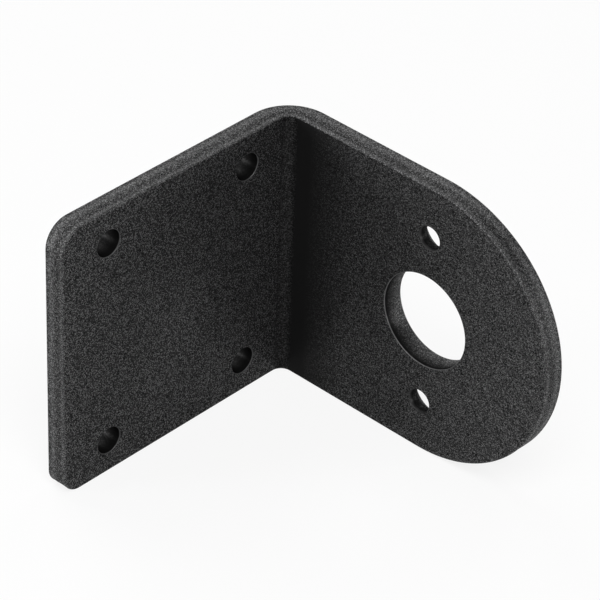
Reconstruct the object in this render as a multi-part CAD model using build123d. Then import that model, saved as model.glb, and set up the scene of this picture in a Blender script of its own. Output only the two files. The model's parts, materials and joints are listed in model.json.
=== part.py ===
from build123d import *
import math
import os

# Motor mounting bracket: one steel plate, cut, drilled, folded at a right angle and
# powder coated. All sizes are in millimetres, over the coating.
#
# Frame: the origin is the centre of the motor's bore, on the face that the motor seats
# on. +Y runs along the motor's axis and out through the plate, +X runs away from the
# base plate, and +Z runs along the fold. The bracket stands on its lower edges.

# The plate and its fold
PLATE_THICKNESS = 3.1
INNER_FOLD_RADIUS = 1.5
FOLD_THICKNESS_LEFT = 0.8       # share of the thickness that is left half-way round the fold
COATED_EDGE_RADIUS = 0.2        # the coating rounds every cut edge

# Motor plate: a boss bore, and two countersunk screw holes above and below it
MOTOR_BORE_DIAMETER = 13.4
MOTOR_AXIS_HEIGHT = 27.0        # motor's axis above the base plate's outer face
MOTOR_SCREW_SPACING = 25.0
MOTOR_SCREW_HOLE_DIAMETER = 3.3
COUNTERSINK_DIAMETER = 6.6
COUNTERSINK_ANGLE = 90.0        # degrees, from side to side of the cone
MOTOR_SCREW_TO_RIM = 7.25       # screw's centre to the plate's rounded rim

# Base plate: four plain screw holes in a rectangle
BASE_LENGTH = 42.1              # motor plate's outer face to the base plate's free edge
BASE_UPPER_CORNER_RADIUS = 3.5   # the free edge's two corners
BASE_LOWER_CORNER_RADIUS = 2.5
BASE_HOLE_DIAMETER = 3.8
BASE_HOLE_TO_SIDE = 4.75        # hole's centre to the nearer long edge
BASE_HOLE_TO_FREE_EDGE = 7.6    # outer pair of holes to the free edge
BASE_HOLE_TO_MOTOR_FACE = 10.5  # inner pair of holes to the motor plate's outer face

# What follows from them
rim_radius = MOTOR_SCREW_SPACING / 2 + MOTOR_SCREW_TO_RIM
height = 2 * rim_radius
motor_face = PLATE_THICKNESS                       # y of the motor plate's outer face
base_face = -MOTOR_AXIS_HEIGHT                     # x of the base plate's outer face
base_inner_face = base_face + PLATE_THICKNESS
free_edge = motor_face - BASE_LENGTH               # y of the base plate's free edge
quarter_sag = 1 - math.sqrt(0.5)                   # how far a unit fillet cuts its corner back
outer_fold_radius = (
    INNER_FOLD_RADIUS
    + PLATE_THICKNESS * (1 - FOLD_THICKNESS_LEFT * math.sqrt(0.5)) / quarter_sag
)


def folded_plate():
    """The angle before any hole: an L in plan, with its fold rounded inside and out."""
    outline = Polyline(
        (base_face, free_edge),
        (base_inner_face, free_edge),
        (base_inner_face, 0),
        (rim_radius, 0),
        (rim_radius, motor_face),
        (base_face, motor_face),
        close=True,
    )
    angle = extrude(make_face(outline), amount=height / 2, both=True)
    upright = angle.edges().filter_by(Axis.Z)
    inner_corner = upright.sort_by_distance((base_inner_face, 0, 0))[0]
    angle = fillet(inner_corner, INNER_FOLD_RADIUS)
    upright = angle.edges().filter_by(Axis.Z)
    outer_corner = upright.sort_by_distance((base_face, motor_face, 0))[0]
    return fillet(outer_corner, outer_fold_radius)


def round_the_outline(angle):
    """Rounds the motor plate's end to a half circle, and the base plate's two free corners."""
    motor_outline = Pos(base_face / 2, 0) * Rectangle(-base_face, height) + Circle(rim_radius)
    angle &= extrude(Plane.XZ * motor_outline, amount=BASE_LENGTH, both=True)
    for radius, corner_z in (
        (BASE_UPPER_CORNER_RADIUS, height / 2),
        (BASE_LOWER_CORNER_RADIUS, -height / 2),
    ):
        crosswise = angle.edges().filter_by(Axis.X)
        corner = crosswise.sort_by_distance((base_face, free_edge, corner_z))[0]
        angle = fillet(corner, radius)
    return angle


def motor_holes():
    """The boss bore, and the screw holes with countersinks that open on the outer face."""
    outer_side = Plane(origin=(0, motor_face, 0), x_dir=(1, 0, 0), z_dir=(0, 1, 0))
    bore = Hole(MOTOR_BORE_DIAMETER / 2, depth=PLATE_THICKNESS)
    screw_hole = CounterSinkHole(
        MOTOR_SCREW_HOLE_DIAMETER / 2,
        COUNTERSINK_DIAMETER / 2,
        depth=PLATE_THICKNESS,
        counter_sink_angle=COUNTERSINK_ANGLE,
    )
    above_and_below = GridLocations(0, MOTOR_SCREW_SPACING, 1, 2)
    return [outer_side * bore] + [outer_side * spot * screw_hole for spot in above_and_below]


def base_holes():
    """The four plain holes that fix the bracket down."""
    outer_side = Plane(origin=(base_face, 0, 0), x_dir=(0, 1, 0), z_dir=(-1, 0, 0))
    columns = (motor_face - BASE_HOLE_TO_MOTOR_FACE, free_edge + BASE_HOLE_TO_FREE_EDGE)
    row = height / 2 - BASE_HOLE_TO_SIDE
    hole = Hole(BASE_HOLE_DIAMETER / 2, depth=PLATE_THICKNESS)
    return [outer_side * Pos(y, z) * hole for y in columns for z in (-row, row)]


def cut_edges(solid):
    """The edges where two faces meet at an angle, so not the seams and tangent joins."""
    sides = {}
    for face in solid.faces():
        for edge in face.edges():
            sides.setdefault(edge, []).append(face)

    def is_cut(edge, faces):
        if len(faces) < 2:
            return False
        middle = edge.position_at(0.5)
        first, second = (face.normal_at(middle) for face in faces[:2])
        return first.get_angle(second) > 5

    return [edge for edge, faces in sides.items() if is_cut(edge, faces)]


def motor_bracket():
    """The whole bracket, with every cut edge rounded by its coating."""
    plate = round_the_outline(folded_plate())
    plate -= motor_holes() + base_holes()
    return fillet(cut_edges(plate), COATED_EDGE_RADIUS)


os.makedirs("parts", exist_ok=True)
bracket = motor_bracket()
export_step(bracket, "parts/motor_bracket.step")
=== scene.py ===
import json
import math

import bmesh
import bpy
from bpy.props import FloatProperty, FloatVectorProperty, PointerProperty
from mathutils import Matrix, Vector
from mathutils.geometry import delaunay_2d_cdt


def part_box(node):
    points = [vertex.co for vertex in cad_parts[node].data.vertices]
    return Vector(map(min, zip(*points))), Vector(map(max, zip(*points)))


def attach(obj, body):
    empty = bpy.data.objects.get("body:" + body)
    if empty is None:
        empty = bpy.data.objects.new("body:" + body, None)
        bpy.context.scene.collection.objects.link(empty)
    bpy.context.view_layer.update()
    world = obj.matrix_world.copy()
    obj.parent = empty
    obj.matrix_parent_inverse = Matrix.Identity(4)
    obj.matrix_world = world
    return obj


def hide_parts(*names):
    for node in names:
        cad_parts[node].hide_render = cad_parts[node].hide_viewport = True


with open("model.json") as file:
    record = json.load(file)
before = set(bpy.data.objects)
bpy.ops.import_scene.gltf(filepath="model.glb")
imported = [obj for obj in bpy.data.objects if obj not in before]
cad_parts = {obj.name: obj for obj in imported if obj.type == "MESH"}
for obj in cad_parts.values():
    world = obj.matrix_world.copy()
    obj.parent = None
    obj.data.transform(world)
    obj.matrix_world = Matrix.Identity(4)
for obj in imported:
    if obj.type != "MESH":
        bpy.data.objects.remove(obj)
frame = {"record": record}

bl_info = {
    "name": "Coated motor bracket",
    "version": (1, 0, 0),
    "blender": (4, 5, 0),
    "location": "View3D > Sidebar > Bracket",
    "description": "Builds a folded, powder-coated motor bracket and a plain studio round it",
    "category": "Object",
}

NODE = "motor_bracket"
MM = 0.001
QUARTER = math.pi / 2

# The coat's two attributes on the mesh. Cover is 0 where the coat is smooth, 1 where it has
# its full grain, and more where the grain is stronger; in the fold it is taken down to help paint
# shade. Shine is the gloss between the grains, and how much of the lit skin shows over the
# painted shade; on the rim, the holes and the fold it paints highlights and shade.
COVER = "cover"
SHINE = "shine"

# What the frame says about the folded plate, in metres
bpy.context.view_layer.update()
LOW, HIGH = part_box(NODE)
MOUNTS = {mount["name"]: mount for mount in frame["record"]["mounts"]}
SEAT_Y = MOUNTS["motor_seat"]["pos_m"][1]
THICKNESS = HIGH.y - SEAT_Y
BASE_INNER_X = LOW.x + THICKNESS
RIM_RADIUS = HIGH.z
BORE_RADIUS = MOUNTS["motor_bore"]["dims"]["r_mm"] * MM
MOTOR_SCREWS = MOUNTS["motor_screws"]
BASE_SCREWS = MOUNTS["base_screws"]

# The mesh across the cut edges, where lengths are in edge radii
FLAT_STRIP = (0.3, 3)           # rings of the flat strip beside an edge, out from the edge
ROUNDING_FACES = 5              # faces across a rounded edge
CUT_FACES, BREAK_FACES = 12, 6  # faces across the rim, up to its ridge and beyond it
BREAK_HOLLOW = 0.5              # hollow beyond the ridge, as a share of that up to it
WALL_RINGS = (0.025, 0.125, 0.25, 0.5, 0.75, 0.875, 0.975)  # shares of a plain hole's wall
THROAT_FACES, CONE_FACES = 3, 6     # faces down a countersunk hole's throat and its cone
THROAT_GAP = 0.1                # from the throat's last ring to the cone

# The mouth of a countersink, which rounds over within a lip's length of its sharp edge:
# rings at (lips outward, lips up) from that edge
LIP = 0.08 * MM
MOUTH = ((-1, -1), (-0.25, -0.25), (0.5, 0))

# The mesh along the edges and over the faces
FEWEST_ARC_FACES = 4
RADIUS_STEPS = 7                # the least number of mesh steps in a hole's radius
WIDE_STEP = 3                   # mesh steps between two points away from the fold
CLEARANCE = 0.3 * MM            # from an edge's flat strip to the face's own points
INSIDE_ONLY = 1                 # delaunay_2d_cdt's output without what lies past the rim
SAME_SPOT = 1e-7                # metres between two points that count as one
FLAT_JOIN = math.radians(5)     # the most that two triangles turn from each other in a quad
SQUARE_JOIN = math.radians(60)  # the most that a quad's corners may be off square

# Painted shade along the inner face, across the fold: millimetres from the start of the fold's
# arc on the base plate's side, cover, and share of the fold's low shine. Cover and shine go down
# there to paint the shade that the base plate casts on the motor plate's foot.
FOLD_PAINTED_SHADE = (
    (-3.0, 1.0, 0.0),
    (0.0, 0.9, 0.0),
    (0.5, 0.42, 0.0),
    (1.9, 0.4, 0.0),
    (2.6, 0.0, 1.0),
    (4.4, 0.0, 1.0),
    (12.0, 1.0, 0.0),
)

# The grain and painted light across the sheared rim: millimetres from the inner face, share of the
# rim's grain, and gloss between the grains. The gloss paints highlights on the rolled edge and
# the ridge, and paints shade on the cut between them.
RIM_GRAIN_AND_PAINTED_LIGHT = (
    (0.0, 1.1, 0.04),
    (0.4, 0.9, 0.09),
    (0.55, 0.85, 0.09),
    (0.8, 0.75, 0.0),
    (1.4, 0.8, 0.0),
    (2.0, 1.05, 0.11),
    (2.3, 1.05, 0.11),
    (2.6, 1.0, 0.02),
    (3.1, 1.0, 0.02),
)

# Painted shade on a hole's wall: how light its shaded part is beside its lighter outer part
SHADED_WALL_LIGHT = 0.15

# Heights on a grain, in shares of its size, where its gloss starts and where it is full
BEAD_FOOT, BEAD_CROWN = 0.1, 0.7

# One in so many of the sparkling grains has the full gloss, and the others have less
FULL_SPARKLE = 3

# The softboxes: name, degrees clockwise from +Y, degrees up, width in metres, and how
# many times brighter than white each one is
LAMP_DISTANCE = 0.7
SOFTBOXES = (
    ("left softbox", -145, 9, 0.24, 16.0),
    ("upper softbox", -82, 51, 0.50, 2.7),
    ("far softbox", 48, 5, 0.14, 27.0),
    ("back softbox", -11, 48, 0.24, 2.7),
    ("front softbox", 131, 60, 0.40, 8.4),
)

# The black card that the rim mirrors: degrees clockwise from +Y and degrees up, then metres
CARD_WAY = (38, 34)
CARD_DISTANCE = 1.2
CARD_WIDTH = 1.3
CARD_SIDES = 48

WHITE = (1, 1, 1, 1)
FLOOR_PAPER = (0.9, 0.9, 0.9, 1.0)
CARD_BLACK = (0.02, 0.02, 0.02, 1.0)
SENSOR_WIDTH = 36.0             # millimetres


# ---------------------------------------------------------------- settings


class PlateSizes(bpy.types.PropertyGroup):
    """The plate's fold and edges. Its outline and holes come from the frame."""

    inner_fold: FloatProperty(
        name="Inner fold radius",
        description="Radius in the angle, on the motor's side",
        default=1.5 * MM,
        min=0.2 * MM,
        unit="LENGTH",
    )
    outer_fold: FloatProperty(
        name="Outer fold radius",
        description="Radius round the back of the fold",
        default=6.097 * MM,
        min=0.5 * MM,
        unit="LENGTH",
    )
    upper_corner: FloatProperty(
        name="Upper corner radius",
        description="Radius of the base plate's upper free corner",
        default=3.5 * MM,
        unit="LENGTH",
    )
    lower_corner: FloatProperty(
        name="Lower corner radius",
        description="Radius of the base plate's lower free corner",
        default=2.5 * MM,
        unit="LENGTH",
    )
    edge: FloatProperty(
        name="Edge radius",
        description="Rounding that the coat gives to the rim's edge on the outer face",
        default=0.2 * MM,
        unit="LENGTH",
    )
    punched_edge: FloatProperty(
        name="Punched edge radius",
        description="Rounding that the coat gives to the edges of the holes",
        default=0.08 * MM,
        unit="LENGTH",
    )
    rolled_edge: FloatProperty(
        name="Rolled edge radius",
        description="Rounding of the rim's edge on the inner face, where the shears went in",
        default=0.22 * MM,
        unit="LENGTH",
    )
    ridge: FloatProperty(
        name="Ridge depth",
        description="From the inner face to the ridge where the shears broke through the plate",
        default=2.05 * MM,
        unit="LENGTH",
    )
    hollow: FloatProperty(
        name="Hollow of the cut",
        description="How far the rim is hollow between its rolled edge and its ridge",
        default=0.04 * MM,
        unit="LENGTH",
    )
    countersink: FloatProperty(
        name="Countersink radius",
        description="Radius of the motor screws' countersinks at the outer face",
        default=3.3 * MM,
        unit="LENGTH",
    )
    # Painted shade: the share of the holes' walls, from the inner face, that the coat keeps smooth
    # and dark.
    bore_shaded_share: FloatProperty(
        name="Clean cut of the motor's holes",
        description="Share of their walls, from the inner face, that the punch cut smooth",
        subtype="FACTOR",
        min=0.0,
        max=0.9,
        default=0.12,
    )
    hole_shaded_share: FloatProperty(
        name="Clean cut of the base holes",
        description="Share of their walls, from the inner face, that the punch cut smooth",
        subtype="FACTOR",
        min=0.0,
        max=0.9,
        default=0.36,
    )
    step: FloatProperty(
        name="Mesh step",
        description="Length of the mesh's faces along an edge and round the fold",
        default=0.3 * MM,
        min=0.1 * MM,
        unit="LENGTH",
    )


class CoatFinish(bpy.types.PropertyGroup):
    """The powder coat's colour, gloss and grain, and the highlights and shade that it paints on
    the rim, holes and fold.
    """

    crest: FloatVectorProperty(
        name="Crest colour",
        description="Black of the coat on top of its grains",
        subtype="COLOR",
        size=4,
        min=0.0,
        max=1.0,
        default=(0.11, 0.11, 0.112, 1.0),
    )
    # Painted shade: the dark matt colour between the grains, partly the coat's own tone and partly
    # shade for the grains' shadows.
    pit_shade: FloatVectorProperty(
        name="Pit colour",
        description="Black of the coat between its grains",
        subtype="COLOR",
        size=4,
        min=0.0,
        max=1.0,
        default=(0.004, 0.004, 0.004, 1.0),
    )
    gloss: FloatProperty(
        name="Gloss",
        description="Strength of the coat's reflection; 0.5 is that of plain plastic",
        subtype="FACTOR",
        min=0.0,
        max=1.0,
        default=0.8,
    )
    roughness: FloatProperty(
        name="Roughness",
        description="Roughness of the grainy coat",
        subtype="FACTOR",
        min=0.0,
        max=1.0,
        default=0.3,
    )
    common_shine: FloatProperty(
        name="Common shine",
        description="Mean gloss of the grains that don't sparkle",
        subtype="FACTOR",
        min=0.0,
        max=0.6,
        default=0.34,
    )
    spread: FloatProperty(
        name="Spread of the shine",
        description="How far the grains' gloss goes below and above its mean",
        subtype="FACTOR",
        min=0.0,
        max=1.0,
        default=0.8,
    )
    sparkles: FloatProperty(
        name="Sparkles",
        description="Share of the grains that sparkle",
        subtype="FACTOR",
        min=0.01,
        max=1.0,
        default=0.28,
    )
    rim_grain: FloatProperty(
        name="Rim's grain",
        description="Strength of the grain on the sheared rim; 1 is that on the faces",
        min=0.0,
        default=1.25,
    )
    bore_grain: FloatProperty(
        name="Bore's grain",
        description="Strength of the grain at the outer end of the bore's wall",
        min=0.0,
        default=1.4,
    )
    hole_grain: FloatProperty(
        name="Base holes' grain",
        description="Strength of the grain at the outer end of the base holes' walls",
        min=0.0,
        default=0.25,
    )
    screw_grain: FloatProperty(
        name="Motor screw holes' grain",
        description="Strength of the grain at the outer end of the motor screws' holes",
        min=0.0,
        default=0.9,
    )
    # Painted light and shade on the holes' walls: how light their outer ends get.
    bore_wall_painted_light: FloatProperty(
        name="Bore shine",
        description="Gloss between the grains at the outer end of the bore's wall",
        subtype="FACTOR",
        min=0.0,
        max=1.0,
        default=0.1,
    )
    hole_wall_painted_light: FloatProperty(
        name="Screw holes' shine",
        description="Gloss between the grains at the outer end of every screw hole's wall",
        subtype="FACTOR",
        min=0.0,
        max=1.0,
        default=0.055,
    )
    # Painted shade: the low shine that darkens the fold's angle.
    fold_shade_shine: FloatProperty(
        name="Thin coat's shine",
        description="Gloss of the thin coat in the fold's angle",
        subtype="FACTOR",
        min=0.0,
        max=1.0,
        default=0.08,
    )
    # Painted highlights: a light, glossy coat on the edges of the holes.
    bore_edge_highlight: FloatProperty(
        name="Bore's edge shine",
        description="Gloss of the smooth coat on the edges of the bore",
        subtype="FACTOR",
        min=0.0,
        max=1.0,
        default=0.7,
    )
    hole_edge_highlight: FloatProperty(
        name="Base holes' edge shine",
        description="Gloss of the smooth coat on the edges of the base holes",
        subtype="FACTOR",
        min=0.0,
        max=1.0,
        default=0.5,
    )
    screw_edge_highlight: FloatProperty(
        name="Motor screw holes' edge shine",
        description="Gloss of the smooth coat on the edges of the motor screws' holes",
        subtype="FACTOR",
        min=0.0,
        max=1.0,
        default=0.25,
    )
    smooth_roughness: FloatProperty(
        name="Smooth coat's roughness",
        description="Roughness of the coat where it has no grain",
        subtype="FACTOR",
        min=0.0,
        max=1.0,
        default=0.35,
    )
    grain: FloatProperty(
        name="Grain size",
        description="Distance from one grain of the coat to the next",
        default=0.12 * MM,
        unit="LENGTH",
    )
    relief: FloatProperty(
        name="Grain relief",
        description="How far the grains stand out of the coat",
        default=0.03 * MM,
        unit="LENGTH",
    )


class StudioSettings(bpy.types.PropertyGroup):
    """The camera, the floor and the soft light from all round."""

    azimuth: FloatProperty(
        name="Camera azimuth",
        description="Way round the bracket, from the view along +Y",
        default=math.radians(42.109),
        subtype="ANGLE",
    )
    elevation: FloatProperty(
        name="Camera elevation",
        description="How far the camera looks down",
        default=math.radians(35.609),
        subtype="ANGLE",
    )
    roll: FloatProperty(
        name="Camera roll",
        description="Turn of the camera about its own line of sight",
        default=math.radians(2.167),
        subtype="ANGLE",
    )
    lens: FloatProperty(
        name="Focal length",
        description="Focal length on a 36 mm sensor, in millimetres",
        default=206.15,
    )
    distance: FloatProperty(
        name="Camera distance",
        description="From the camera to the point that it aims at",
        default=419.0 * MM,
        unit="LENGTH",
    )
    aim: FloatVectorProperty(
        name="Aim offset",
        description="The point that the camera aims at, from the middle of the bracket's box",
        default=(-3.9 * MM, 3.1 * MM, 6.8 * MM),
        size=3,
        subtype="TRANSLATION",
        unit="LENGTH",
    )
    floor_size: FloatProperty(
        name="Floor size",
        description="Side of the square floor",
        default=6.0,
        unit="LENGTH",
    )
    floor_glow: FloatProperty(
        name="Floor glow",
        description="Share of the floor's white, as the camera sees it, that no shadow takes away",
        subtype="FACTOR",
        default=0.85,
    )
    mirrored_glow: FloatProperty(
        name="Mirrored floor glow",
        description="Share of the floor's white that no shadow takes away in gloss and glass",
        subtype="FACTOR",
        default=0.0,
    )
    ambient: FloatProperty(
        name="Soft light",
        description="Strength of the soft light from all round",
        default=0.11,
    )


# ---------------------------------------------------------------- the fold and the outline


class Fold:
    """The plate before and after it is folded.

    A point of the flat blank is (u, z): u runs along the blank, z up. On the motor plate
    u is x. Depth is 0 on the inner face and 1 on the outer face.
    """

    def __init__(self, sizes):
        self.inner = sizes.inner_fold
        self.outer = sizes.outer_fold
        # The outer face's bend is the longer one, so the inner face is straight at both
        # ends of the fold. The blank's own run is the mean of the two faces' runs.
        self.lead = self.outer - THICKNESS - self.inner
        self.inner_run = 2 * self.lead + self.inner * QUARTER
        self.end = LOW.x + self.outer
        self.start = self.end - (self.inner_run + self.outer * QUARTER) / 2
        self.base_y = HIGH.y - self.outer
        self.free_edge = self.base_u(LOW.y)

    def base_u(self, y):
        """u of a point on the flat part of the base plate."""
        return self.start - (self.base_y - y)

    def inner_point(self, share):
        """A point of the fold's inner face: a short straight, the bend, a short straight."""
        run = share * self.inner_run
        if run <= self.lead:
            return Vector((BASE_INNER_X, self.base_y + run))
        angle = (run - self.lead) / self.inner
        if angle < QUARTER:
            centre = Vector((BASE_INNER_X + self.inner, SEAT_Y - self.inner))
            return centre + self.inner * Vector((-math.cos(angle), math.sin(angle)))
        beyond = run - self.lead - self.inner * QUARTER
        return Vector((BASE_INNER_X + self.inner + beyond, SEAT_Y))

    def run_from_arc(self, x, y):
        """How far along the inner face a point is from the arc's start on the base plate."""
        from_start, from_end = self.inner - (SEAT_Y - y), x - BASE_INNER_X - self.inner
        if from_start <= 0:
            return from_start
        if from_end >= 0:
            return self.inner * QUARTER + from_end
        return self.inner * math.atan2(from_start, -from_end)

    def outer_point(self, share):
        """A point of the fold's outer face, which is one round bend."""
        centre = Vector((self.end, self.base_y))
        angle = share * QUARTER
        return centre + self.outer * Vector((-math.cos(angle), math.sin(angle)))

    def place(self, u, z, depth):
        """Where a point of the blank goes when the plate is folded."""
        if u >= self.end:
            return Vector((u, SEAT_Y + depth * THICKNESS, z))
        if u <= self.start:
            return Vector((BASE_INNER_X - depth * THICKNESS, self.base_y - self.start + u, z))
        share = (u - self.start) / (self.end - self.start)
        point = self.inner_point(share).lerp(self.outer_point(share), depth)
        return Vector((point.x, point.y, z))


def straight(start, end, step):
    """Points along a straight edge, without its last one, each with its way into the plate."""
    count = max(1, round((end - start).length / step))
    along = (end - start).normalized()
    inward = Vector((-along.y, along.x))
    return [(start.lerp(end, i / count), inward) for i in range(count)]


def arc(centre, radius, start, end, step, outward=1):
    """Points along an arc, as straight gives them. outward is -1 round a hole."""
    count = max(FEWEST_ARC_FACES, round(radius * abs(end - start) / step))
    points = []
    for i in range(count):
        angle = start + (end - start) * i / count
        radial = Vector((math.cos(angle), math.sin(angle)))
        points.append((centre + radius * radial, -outward * radial))
    return points


def outline(fold, sizes):
    """The blank's rim, anticlockwise from the base plate's lower corner."""
    top, left, step = RIM_RADIUS, fold.free_edge, sizes.step
    upper, lower = sizes.upper_corner, sizes.lower_corner
    return (
        straight(Vector((left + lower, -top)), Vector((0, -top)), step)
        + arc(Vector((0, 0)), top, -QUARTER, QUARTER, step)
        + straight(Vector((0, top)), Vector((left + upper, top)), step)
        + arc(Vector((left + upper, top - upper)), upper, QUARTER, 2 * QUARTER, step)
        + straight(Vector((left, top - upper)), Vector((left, lower - top)), step)
        + arc(Vector((left + lower, lower - top)), lower, 2 * QUARTER, 3 * QUARTER, step)
    )


def hole_rim(centre, radius, step):
    """A hole's rim, with shorter steps on a small hole."""
    return arc(centre, radius, 0, -4 * QUARTER, min(step, radius / RADIUS_STEPS), outward=-1)


# ---------------------------------------------------------------- sections of the edges


# A section runs from the inner face to the outer one. Each of its points is (distance into
# the plate from its rim or its hole, depth from the inner face), in metres.


def rounded(face, edge, side):
    """A quarter round from a face's depth to an edge's wall. side is -1 at the inner face."""
    points = []
    for i in range(ROUNDING_FACES + 1):
        angle = QUARTER * i / ROUNDING_FACES
        points.append((edge * (1 - math.sin(angle)), face - side * edge * (1 - math.cos(angle))))
    return points


def hollow(start, end, sag, count):
    """A shallow hollow along an edge's wall, from one depth to the next."""
    return [
        (sag * math.sin(math.pi * i / count), start + (end - start) * i / count)
        for i in range(1, count + 1)
    ]


def flat_strip(start, edge, depth):
    """A flat strip of a face, outward from where a rounded edge ends."""
    return [(start + share * edge, depth) for share in FLAT_STRIP]


def inner_side(radius, edge):
    """A flat strip of the inner face, and the rounding from it to an edge's wall."""
    return flat_strip(radius, edge, 0)[::-1] + rounded(0, radius, -1)


def outer_side(edge):
    """The rounding from an edge's wall to the outer face, and a flat strip of that face."""
    return rounded(THICKNESS, edge, 1)[::-1] + flat_strip(edge, edge, THICKNESS)


def sheared_section(sizes):
    """The rim's section: a rolled edge, a hollow cut up to the ridge, and the break."""
    edge, rolled = sizes.edge, sizes.rolled_edge
    cut = hollow(rolled, sizes.ridge, sizes.hollow, CUT_FACES)
    break_out = hollow(sizes.ridge, THICKNESS - edge, sizes.hollow * BREAK_HOLLOW, BREAK_FACES)
    return inner_side(rolled, edge) + cut + break_out[:-1] + outer_side(edge)


def straight_section(sizes):
    """A plain hole's section."""
    edge = sizes.punched_edge
    wall = [(0, edge + (THICKNESS - 2 * edge) * share) for share in WALL_RINGS]
    return inner_side(edge, edge) + wall + outer_side(edge)


def countersunk_section(sizes):
    """A countersunk hole's section, which widens to the outer face at 45 degrees."""
    edge = sizes.punched_edge
    wider = sizes.countersink - MOTOR_SCREWS["dims"]["hole_r_mm"] * MM
    throat = THICKNESS - wider
    wall_length = throat - (1 + THROAT_GAP) * edge
    wall = [(0, edge + wall_length * i / THROAT_FACES) for i in range(1, THROAT_FACES + 1)]
    climbs = [wider * i / CONE_FACES for i in range(1, CONE_FACES)]
    cone = [(climb, throat + climb) for climb in climbs]
    mouth = [(wider + out * LIP, THICKNESS + up * LIP) for out, up in MOUTH]
    strip = flat_strip(wider + edge, edge, THICKNESS)
    return inner_side(edge, edge) + wall + cone + mouth + strip


# ---------------------------------------------------------------- the plate's mesh


def punched_holes(fold, sizes, coat):
    """The motor's bore and two screw holes, and the base plate's four screw holes.

    Each is its centre on the blank, its radius, its section, and the finish of its wall
    that paint_hole_grain_and_shade describes.
    """
    motor, base = MOTOR_SCREWS["dims"], BASE_SCREWS["dims"]
    plain, sunk = straight_section(sizes), countersunk_section(sizes)
    bore_wall = (
        sizes.bore_shaded_share, coat.bore_grain, coat.bore_wall_painted_light, coat.bore_edge_highlight
    )
    screw_wall = (
        sizes.bore_shaded_share, coat.screw_grain, coat.hole_wall_painted_light, coat.screw_edge_highlight
    )
    base_wall = (
        sizes.hole_shaded_share, coat.hole_grain, coat.hole_wall_painted_light, coat.hole_edge_highlight
    )
    screw_radius, base_radius = motor["hole_r_mm"] * MM, base["hole_r_mm"] * MM
    screw_z = motor["spacing_y_mm"] * MM / 2
    half_y, half_z = base["spacing_x_mm"] * MM / 2, base["spacing_y_mm"] * MM / 2
    columns = [fold.base_u(BASE_SCREWS["pos_m"][1] + side * half_y) for side in (-1, 1)]
    holes = [(Vector((0, 0)), BORE_RADIUS, plain, bore_wall)]
    holes += [(Vector((0, z)), screw_radius, sunk, screw_wall) for z in (-screw_z, screw_z)]
    holes += [
        (Vector((u, z)), base_radius, plain, base_wall)
        for u in columns for z in (-half_z, half_z)
    ]
    return holes


def sweep(mesh, fold, rim, section):
    """Sweeps a section along a rim, and returns its rings of (spot, vert) pairs."""
    cover = mesh.verts.layers.float[COVER]
    rings = []
    for inset, depth in section:
        ring = []
        for point, inward in rim:
            spot = point + inset * inward
            vert = mesh.verts.new(fold.place(spot.x, spot.y, depth / THICKNESS))
            vert[cover] = 1.0
            ring.append((spot, vert))
        rings.append(ring)
    for lower, upper in zip(rings, rings[1:]):
        for i in range(len(rim)):
            mesh.faces.new((lower[i - 1][1], lower[i][1], upper[i][1], upper[i - 1][1]))
    return rings


def inside(point, fold, sizes, holes):
    """Whether a point is clear of the rim and of every hole."""
    margin = sizes.rolled_edge + FLAT_STRIP[-1] * sizes.edge + CLEARANCE
    if point.x > 0 and point.length > RIM_RADIUS - margin:
        return False
    if abs(point.y) > RIM_RADIUS - margin or point.x < fold.free_edge + margin:
        return False
    radius = sizes.upper_corner if point.y > 0 else sizes.lower_corner
    corner = Vector((fold.free_edge + radius, RIM_RADIUS - radius))
    away = Vector((point.x, abs(point.y))) - corner
    if away.x < 0 < away.y and away.length > radius - margin:
        return False
    return all((point - centre).length > radius + CLEARANCE for centre, radius in holes)


def grid_points(fold, sizes, holes):
    """Points inside the blank, in columns that are closer together round the fold."""
    columns = []
    wide = WIDE_STEP * sizes.step
    u = fold.free_edge
    while u < RIM_RADIUS:
        columns.append(u)
        near = fold.start - wide < u < fold.end + wide
        u += sizes.step if near else wide
    rows = round(2 * RIM_RADIUS / wide)
    heights = [-RIM_RADIUS + 2 * RIM_RADIUS * (i + 0.5) / rows for i in range(rows)]
    return [
        Vector((u, z)) for u in columns for z in heights
        if inside(Vector((u, z)), fold, sizes, holes)
    ]


def fill_face(mesh, fold, sizes, loops, holes, depth):
    """Fills the inner or the outer face between its rim and its holes.

    loops are the rings of (spot, vert) pairs that bound it, the rim's first, and holes are
    the (centre, radius) of the others. It returns the new faces.
    """
    cover = mesh.verts.layers.float[COVER]
    swept = [pair for loop in loops for pair in loop]
    edges, first = [], 0
    for loop in loops:
        count = len(loop)
        edges += [(first + i, first + (i + 1) % count) for i in range(count)]
        first += count
    spots = [spot for spot, _ in swept] + grid_points(fold, sizes, holes)
    placed, _, triangles, sources, *_ = delaunay_2d_cdt(
        spots, edges, [], INSIDE_ONLY, SAME_SPOT
    )
    corners = []
    for spot, given in zip(placed, sources):
        known = [i for i in given if i < len(swept)]
        if known:
            vert = swept[known[0]][1]
        else:
            vert = mesh.verts.new(fold.place(spot.x, spot.y, depth))
            vert[cover] = 1.0
        corners.append(vert)
    faces = []
    for triangle in triangles:
        middle = sum((placed[i] for i in triangle), Vector((0, 0))) / 3
        if any((middle - centre).length < radius for centre, radius in holes):
            continue
        order = triangle if depth else triangle[::-1]
        faces.append(mesh.faces.new([corners[i] for i in order]))
    return faces


def finished(mesh, name):
    """Turns a bmesh into mesh data with this name."""
    data = bpy.data.meshes.new(name)
    mesh.to_mesh(data)
    mesh.free()
    return data


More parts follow.
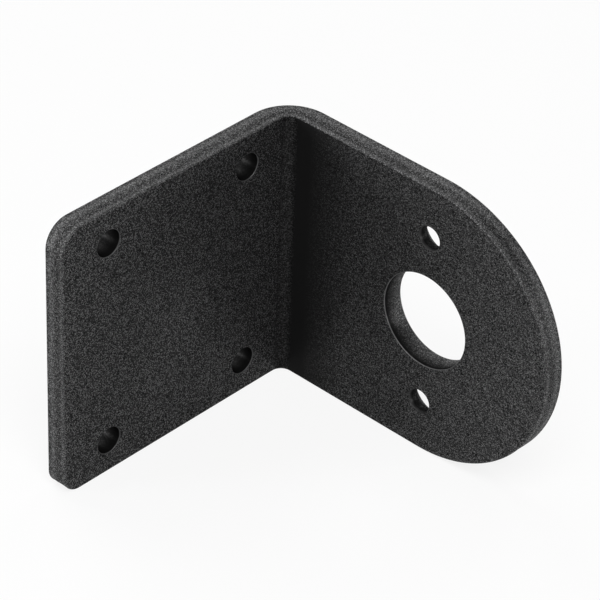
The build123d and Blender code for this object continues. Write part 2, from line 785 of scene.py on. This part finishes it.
def plate_mesh(fold, sizes, coat):
    """The whole plate: a swept edge round the rim and each hole, and two filled faces."""
    mesh = bmesh.new()
    mesh.verts.layers.float.new(COVER)
    mesh.verts.layers.float.new(SHINE)
    section = sheared_section(sizes)
    rings = sweep(mesh, fold, outline(fold, sizes), section)
    paint_rim_grain_and_light(mesh, rings, section, coat.rim_grain)
    inner_loops, outer_loops = [rings[0]], [rings[-1]]
    inner_holes, outer_holes = [], []
    for centre, radius, section, finish in punched_holes(fold, sizes, coat):
        rings = sweep(mesh, fold, hole_rim(centre, radius, sizes.step), section)
        paint_hole_grain_and_shade(mesh, rings, section, sizes.punched_edge, finish)
        inner_loops.append(rings[0])
        outer_loops.append(rings[-1])
        inner_holes.append((centre, radius + section[0][0]))
        outer_holes.append((centre, radius + section[-1][0]))
    faces = fill_face(mesh, fold, sizes, inner_loops, inner_holes, 0)
    faces += fill_face(mesh, fold, sizes, outer_loops, outer_holes, 1)
    bmesh.ops.join_triangles(
        mesh, faces=faces, angle_face_threshold=FLAT_JOIN, angle_shape_threshold=SQUARE_JOIN
    )
    bmesh.ops.recalc_face_normals(mesh, faces=mesh.faces)
    for face in mesh.faces:
        face.smooth = True
    # Painted shade in and beside the fold's angle
    paint_shade_in_the_fold(mesh, fold, sizes, coat.fold_shade_shine)
    return finished(mesh, "coated plate")


# ---------------------------------------------------------------- the coat over the mesh


def read_off(table, place):
    """A table's values at a place between two of its stops, or at its nearer end."""
    for (start, *before), (end, *after) in zip(table, table[1:]):
        if place <= end:
            share = max(0, (place - start) / (end - start))
            return [low + (high - low) * share for low, high in zip(before, after)]
    return table[-1][1:]


def coat_ring(mesh, ring, cover, shine):
    """Gives every vert of a ring the same coat."""
    layers = mesh.verts.layers.float
    for _, vert in ring:
        vert[layers[COVER]] = cover
        vert[layers[SHINE]] = shine


def paint_rim_grain_and_light(mesh, rings, section, rim_grain):
    """Gives the sheared rim its grain and, between the two faces, its painted highlights and
    shade, as the rim's table says.
    """
    for ring, (_, depth) in zip(rings, section):
        if 0 < depth < THICKNESS:
            grain_share, gloss = read_off(RIM_GRAIN_AND_PAINTED_LIGHT, depth / MM)
            coat_ring(mesh, ring, rim_grain * grain_share, gloss)


def paint_hole_grain_and_shade(mesh, rings, section, edge, finish):
    """Sets the grain and the painted light and shade on a hole's wall.

    The wall is smooth and dark, a painted shade, over its shaded share from the inner face, and
    gets grainier and lighter towards the outer face. finish is the shaded share of the wall, how
    grainy and how light the wall gets, and how light its edges are, which paints their highlight.
    """
    shaded_share, grainy, wall_painted_light, edge_highlight = finish
    for ring, (_, depth) in zip(rings, section):
        if edge < depth < THICKNESS - edge:
            share = max(0, depth / THICKNESS - shaded_share) / (1 - shaded_share)
            painted_brightness = SHADED_WALL_LIGHT + (1 - SHADED_WALL_LIGHT) * share
            coat_ring(mesh, ring, grainy * share, wall_painted_light * painted_brightness)
        elif 0 < depth < THICKNESS:
            coat_ring(mesh, ring, 0, edge_highlight)


def paint_shade_in_the_fold(mesh, fold, sizes, fold_shade_shine):
    """Paints shade in and beside the fold: takes the coat's cover down and sets its low shine, as
    the fold's table says.
    """
    cover, shine = mesh.verts.layers.float[COVER], mesh.verts.layers.float[SHINE]
    for vert in mesh.verts:
        if vert.co.y > SEAT_Y or abs(vert.co.z) > RIM_RADIUS - sizes.rolled_edge:
            continue
        run = fold.run_from_arc(vert.co.x, vert.co.y)
        painted_cover, painted_shine_share = read_off(FOLD_PAINTED_SHADE, run / MM)
        vert[cover] *= painted_cover
        vert[shine] = max(fold_shade_shine * painted_shine_share, vert[shine])


# ---------------------------------------------------------------- shader maths


class Graph:
    """One material's or world's nodes."""

    def __init__(self, owner):
        owner.use_nodes = True
        self.tree = owner.node_tree
        self.tree.nodes.clear()

    def node(self, kind, settings=None, inputs=None):
        """Adds a node, sets its settings first and then its sockets, by name or number."""
        made = self.tree.nodes.new(kind)
        for name, value in (settings or {}).items():
            setattr(made, name, value)
        for name, value in (inputs or {}).items():
            self.feed(made.inputs[name], value)
        return made

    def feed(self, socket, value):
        """Links another node's output to a socket, or sets the socket to a value."""
        if isinstance(value, Value):
            self.tree.links.new(value.socket, socket)
        elif isinstance(value, bpy.types.NodeSocket):
            self.tree.links.new(value, socket)
        else:
            socket.default_value = value

    def value(self, kind, settings=None, inputs=None, output=0):
        """As node, but returns one of its outputs, ready for arithmetic."""
        return Value(self, self.node(kind, settings, inputs).outputs[output])


class Value:
    """A socket's number. Each operator adds the Math node that it needs."""

    def __init__(self, graph, socket):
        self.graph, self.socket = graph, socket

    def math(self, operation, *values):
        """The Math node of an operation, such as MAXIMUM, on these values."""
        inputs = dict(enumerate(values))
        return self.graph.value("ShaderNodeMath", {"operation": operation}, inputs)

    def __add__(self, other):
        return self.math("ADD", self, other)

    def __radd__(self, other):
        return self.math("ADD", other, self)

    def __sub__(self, other):
        return self.math("SUBTRACT", self, other)

    def __rsub__(self, other):
        return self.math("SUBTRACT", other, self)

    def __mul__(self, other):
        return self.math("MULTIPLY", self, other)

    def __rmul__(self, other):
        return self.math("MULTIPLY", other, self)

    def between(self, low, high):
        """0 below low, 1 above high, and a straight ramp between."""
        return self.graph.value(
            "ShaderNodeMapRange", None, {"Value": self, "From Min": low, "From Max": high}
        )


def powder_coat(finish):
    """Black powder coat: a matt skin of fine grains that catch the light one by one.

    Each grain is a bead with a gloss of its own, and painted shade, a dark matt colour, lies
    between the beads. Where cover is low the coat is smooth instead, and its shine sets how much
    painted shade shows.
    """
    coat = bpy.data.materials.new("powder coat")
    graph = Graph(coat)
    place = graph.value("ShaderNodeVectorMath", {"operation": "SUBTRACT"}, {
        0: graph.value("ShaderNodeTexCoord", output="Object"),
        1: (BASE_INNER_X, SEAT_Y, 0),
    })
    beads = graph.node(
        "ShaderNodeTexVoronoi", None, {"Vector": place, "Scale": 1 / finish.grain}
    )
    cover, smooth_shine = (
        graph.value("ShaderNodeAttribute", {"attribute_name": name}, output="Fac")
        for name in (COVER, SHINE)
    )
    chance = graph.value("ShaderNodeSeparateColor", None, {"Color": beads.outputs["Color"]})
    height = 1 - Value(graph, beads.outputs["Distance"])
    sparkle = chance.between(1 - finish.sparkles, 1 - finish.sparkles / FULL_SPARKLE)
    common = finish.common_shine * (1 - finish.spread + 2 * finish.spread * chance)
    grainy_shine = (common + (1 - common) * sparkle) * height.between(BEAD_FOOT, BEAD_CROWN)
    smooth, grainy = finish.smooth_roughness, finish.roughness
    skin = graph.value("ShaderNodeBsdfPrincipled", None, {
        "Base Color": finish.crest,
        "Specular IOR Level": finish.gloss,
        "Roughness": smooth + (grainy - smooth) * cover,
        "Normal": graph.value("ShaderNodeBump", None, {
            "Strength": 1.0, "Distance": finish.relief, "Height": height * cover,
        }),
    })
    # Painted shade between the grains, and over the fold, the holes' walls and the rim's cut where
    # shine is low
    shade = graph.value("ShaderNodeBsdfDiffuse", None, {"Color": finish.pit_shade})
    shine = smooth_shine + grainy_shine * cover
    surface = graph.value("ShaderNodeMixShader", None, {0: shine, 1: shade, 2: skin})
    graph.node("ShaderNodeOutputMaterial", None, {"Surface": surface})
    return coat


# ---------------------------------------------------------------- the studio


def background_rays(graph):
    """Two masks: what the camera sees straight, and what gloss or glass shows it."""
    path = graph.node("ShaderNodeLightPath")
    direct, gloss, through = (
        Value(graph, path.outputs[name])
        for name in ("Is Camera Ray", "Is Glossy Ray", "Is Transmission Ray")
    )
    return direct, gloss.math("MAXIMUM", gloss, through)


def lay_floor(scene, settings):
    """A white floor, part of it its own glow, so that the shadow on it stays light."""
    mesh = bmesh.new()
    bmesh.ops.create_grid(mesh, x_segments=1, y_segments=1, size=settings.floor_size / 2)
    floor = bpy.data.objects.new("floor", finished(mesh, "floor"))
    floor.location.z = LOW.z
    scene.collection.objects.link(floor)
    white = bpy.data.materials.new("floor white")
    graph = Graph(white)
    direct, mirrored = background_rays(graph)
    paper = graph.value("ShaderNodeBsdfDiffuse", None, {"Color": FLOOR_PAPER})
    glow = graph.value("ShaderNodeEmission", None, {"Color": WHITE, "Strength": 1.0})
    share = direct * settings.floor_glow + mirrored * settings.mirrored_glow
    seen = graph.value("ShaderNodeMixShader", None, {0: share, 1: paper, 2: glow})
    graph.node("ShaderNodeOutputMaterial", None, {"Surface": seen})
    floor.data.materials.append(white)


def light_the_world(scene, settings):
    """White all round where it is seen, and a plain soft light elsewhere."""
    world = bpy.data.worlds.new("studio white")
    scene.world = world
    graph = Graph(world)
    direct, mirrored = background_rays(graph)
    seen = direct.math("MAXIMUM", direct, mirrored)
    back = graph.value("ShaderNodeBackground", None, {
        "Color": WHITE,
        "Strength": settings.ambient + (1 - settings.ambient) * seen,
    })
    graph.node("ShaderNodeOutputWorld", None, {"Surface": back})


def way_out(azimuth, elevation):
    """The way from the bracket to something that hangs round it, from degrees."""
    around, up = math.radians(azimuth), math.radians(elevation)
    return Vector((
        math.sin(around) * math.cos(up), math.cos(around) * math.cos(up), math.sin(up)
    ))


def hang(scene, name, data, way, distance):
    """Hangs a lamp or a card, facing the middle of the bracket."""
    hung = bpy.data.objects.new(name, data)
    hung.location = (LOW + HIGH) / 2 + way * distance
    hung.rotation_euler = way.to_track_quat("Z", "Y").to_euler()
    scene.collection.objects.link(hung)
    return hung


def hang_lamps(scene):
    """Hangs every softbox where the table says."""
    for name, azimuth, elevation, width, radiance in SOFTBOXES:
        data = bpy.data.lights.new(name, "AREA")
        data.shape = "DISK"
        data.size = width
        area = math.pi * (width / 2) ** 2
        data.energy = radiance * math.pi * area
        hang(scene, name, data, way_out(azimuth, elevation), LAMP_DISTANCE)


def hang_card(scene):
    """Hangs a black card high behind the bracket, which keeps part of its rim dark."""
    mesh = bmesh.new()
    bmesh.ops.create_circle(mesh, cap_ends=True, segments=CARD_SIDES, radius=CARD_WIDTH / 2)
    data = finished(mesh, "black card")
    black = bpy.data.materials.new("card black")
    graph = Graph(black)
    paper = graph.value("ShaderNodeBsdfDiffuse", None, {"Color": CARD_BLACK})
    graph.node("ShaderNodeOutputMaterial", None, {"Surface": paper})
    data.materials.append(black)
    hang(scene, "black_card", data, way_out(*CARD_WAY), CARD_DISTANCE)


def set_camera(scene, settings):
    """Aims the camera at the bracket from the settings' direction."""
    middle = (LOW + HIGH) / 2
    turn = (
        Matrix.Rotation(settings.azimuth, 4, "Z")
        @ Matrix.Rotation(QUARTER - settings.elevation, 4, "X")
        @ Matrix.Rotation(settings.roll, 4, "Z")
    )
    data = bpy.data.cameras.new("camera")
    data.lens = settings.lens
    data.sensor_width = SENSOR_WIDTH
    camera = bpy.data.objects.new("camera", data)
    back = turn.to_3x3() @ Vector((0, 0, settings.distance))
    camera.matrix_world = Matrix.Translation(middle + Vector(settings.aim) + back) @ turn
    scene.collection.objects.link(camera)
    scene.camera = camera


# ---------------------------------------------------------------- operators and panel


class BRACKET_OT_plate(bpy.types.Operator):
    """Build the folded plate with its rounded edges, in the place of the plain one"""

    bl_idname = "bracket.plate"
    bl_label = "Coated plate"

    def execute(self, context):
        scene = context.scene
        sizes, coat = scene.bracket_plate, scene.bracket_coat
        plate = bpy.data.objects.new("coated_plate", plate_mesh(Fold(sizes), sizes, coat))
        scene.collection.objects.link(plate)
        plate.data.materials.append(powder_coat(coat))
        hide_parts(NODE)
        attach(plate, "root")
        return {"FINISHED"}


class BRACKET_OT_studio(bpy.types.Operator):
    """Lay the floor, hang the lights and the black card and set up the camera"""

    bl_idname = "bracket.studio"
    bl_label = "Studio"

    def execute(self, context):
        scene = context.scene
        settings = scene.bracket_studio
        lay_floor(scene, settings)
        light_the_world(scene, settings)
        hang_lamps(scene)
        hang_card(scene)
        set_camera(scene, settings)
        scene.view_settings.view_transform = "Standard"
        return {"FINISHED"}


class BRACKET_PT_panel(bpy.types.Panel):
    """The bracket's settings and operators"""

    bl_idname = "BRACKET_PT_panel"
    bl_label = "Motor bracket"
    bl_space_type = "VIEW_3D"
    bl_region_type = "UI"
    bl_category = "Bracket"

    def draw(self, context):
        layout = self.layout
        for label, settings, operator in (
            ("Plate", context.scene.bracket_plate, BRACKET_OT_plate),
            ("Coat", context.scene.bracket_coat, None),
            ("Studio", context.scene.bracket_studio, BRACKET_OT_studio),
        ):
            column = layout.column(align=True)
            column.label(text=label)
            for name in settings.__annotations__:
                column.prop(settings, name)
            if operator:
                column.operator(operator.bl_idname)


CLASSES = (
    PlateSizes,
    CoatFinish,
    StudioSettings,
    BRACKET_OT_plate,
    BRACKET_OT_studio,
    BRACKET_PT_panel,
)


def register():
    for cls in CLASSES:
        bpy.utils.register_class(cls)
    bpy.types.Scene.bracket_plate = PointerProperty(type=PlateSizes)
    bpy.types.Scene.bracket_coat = PointerProperty(type=CoatFinish)
    bpy.types.Scene.bracket_studio = PointerProperty(type=StudioSettings)


def unregister():
    del bpy.types.Scene.bracket_studio
    del bpy.types.Scene.bracket_coat
    del bpy.types.Scene.bracket_plate
    for cls in reversed(CLASSES):
        bpy.utils.unregister_class(cls)


def main():
    register()
    bpy.ops.bracket.plate()
    bpy.ops.bracket.studio()


if __name__ == "__main__":
    main()
